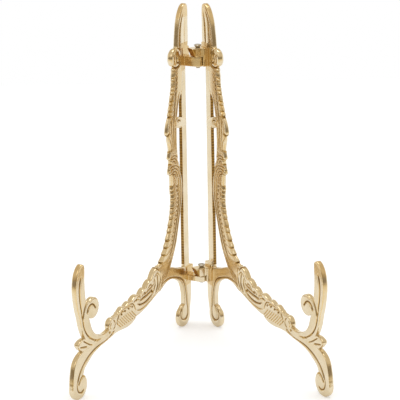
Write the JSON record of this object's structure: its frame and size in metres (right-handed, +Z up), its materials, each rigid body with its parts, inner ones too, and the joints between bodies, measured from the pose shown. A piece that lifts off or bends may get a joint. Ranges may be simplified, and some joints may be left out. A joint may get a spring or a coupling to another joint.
{
  "type": "photo album stand",
  "caption": "Folding easel of ornate cast brass: mirror-image side castings with horns, leaf limbs, seats and hooks, hinged at the back like a book.",
  "frame": {"origin": "centre of the stand on the surface it stands on", "axes": "+Z up; -Y towards the viewer, where the album is held; +X to the viewer's right"},
  "size_m": [0.2182, 0.1882, 0.3],
  "materials": {
    "brass": "polished cast brass, darker in the recesses",
    "screw_steel": "bright steel"
  },
  "bodies": {
    "left_side": {"left_casting": "brass", "upper_hinge_screw": "screw_steel", "lower_hinge_screw": "screw_steel"},
    "right_side": {"right_casting": "brass"}
  },
  "joints": [
    {"name": "side_hinge", "type": "hinge", "parent": "left_side", "child": "right_side", "pos_m": [0.00229, 0.08285, 0.1508], "axis": [0, 0, 1], "range_deg": [-57, 43]}
  ]
}
